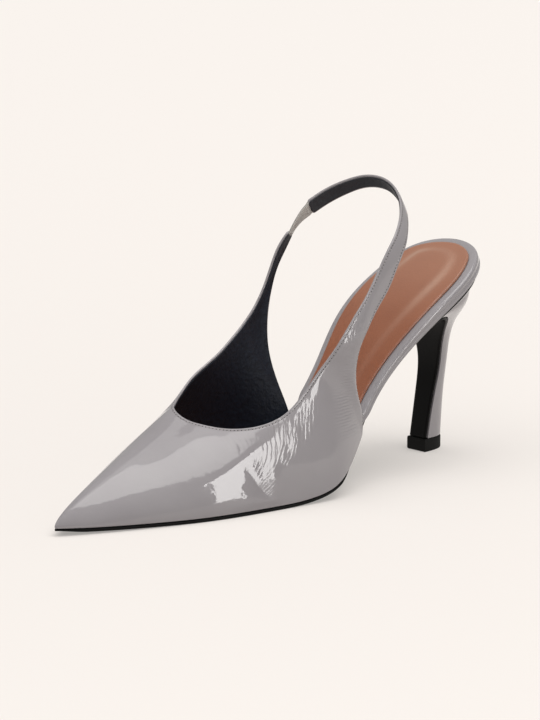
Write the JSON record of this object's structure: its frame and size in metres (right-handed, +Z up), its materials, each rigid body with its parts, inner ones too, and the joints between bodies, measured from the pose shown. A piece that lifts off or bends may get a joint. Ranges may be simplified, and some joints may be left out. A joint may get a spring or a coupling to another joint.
{
  "type": "slingback pump",
  "caption": "Left slingback pump: pointed patent upper running back into a heel strap that short elastic closes, slim curved high heel, tan leather footbed.",
  "frame": {"origin": "on the floor, under the middle of the shoe's box", "axes": "+X to the toe, +Y to the outer side of the left foot, +Z up"},
  "size_m": [0.2452, 0.075, 0.1289],
  "materials": {
    "grey_patent": "crinkled patent, high gloss",
    "grey_patent_rim": "patent, high gloss",
    "grey_patent_heel": "patent, high gloss",
    "tan_sock": "satin",
    "grey_elastic": "knitted, matt",
    "black_sole": "smooth satin",
    "black_top_piece": "matt"
  },
  "bodies": {
    "root": {"upper": "grey_patent", "insole": "grey_patent_rim", "heel": "grey_patent_heel", "sock_lining": "tan_sock", "elastic": "grey_elastic", "outsole": "black_sole", "top_piece": "black_top_piece"}
  },
  "joints": []
}
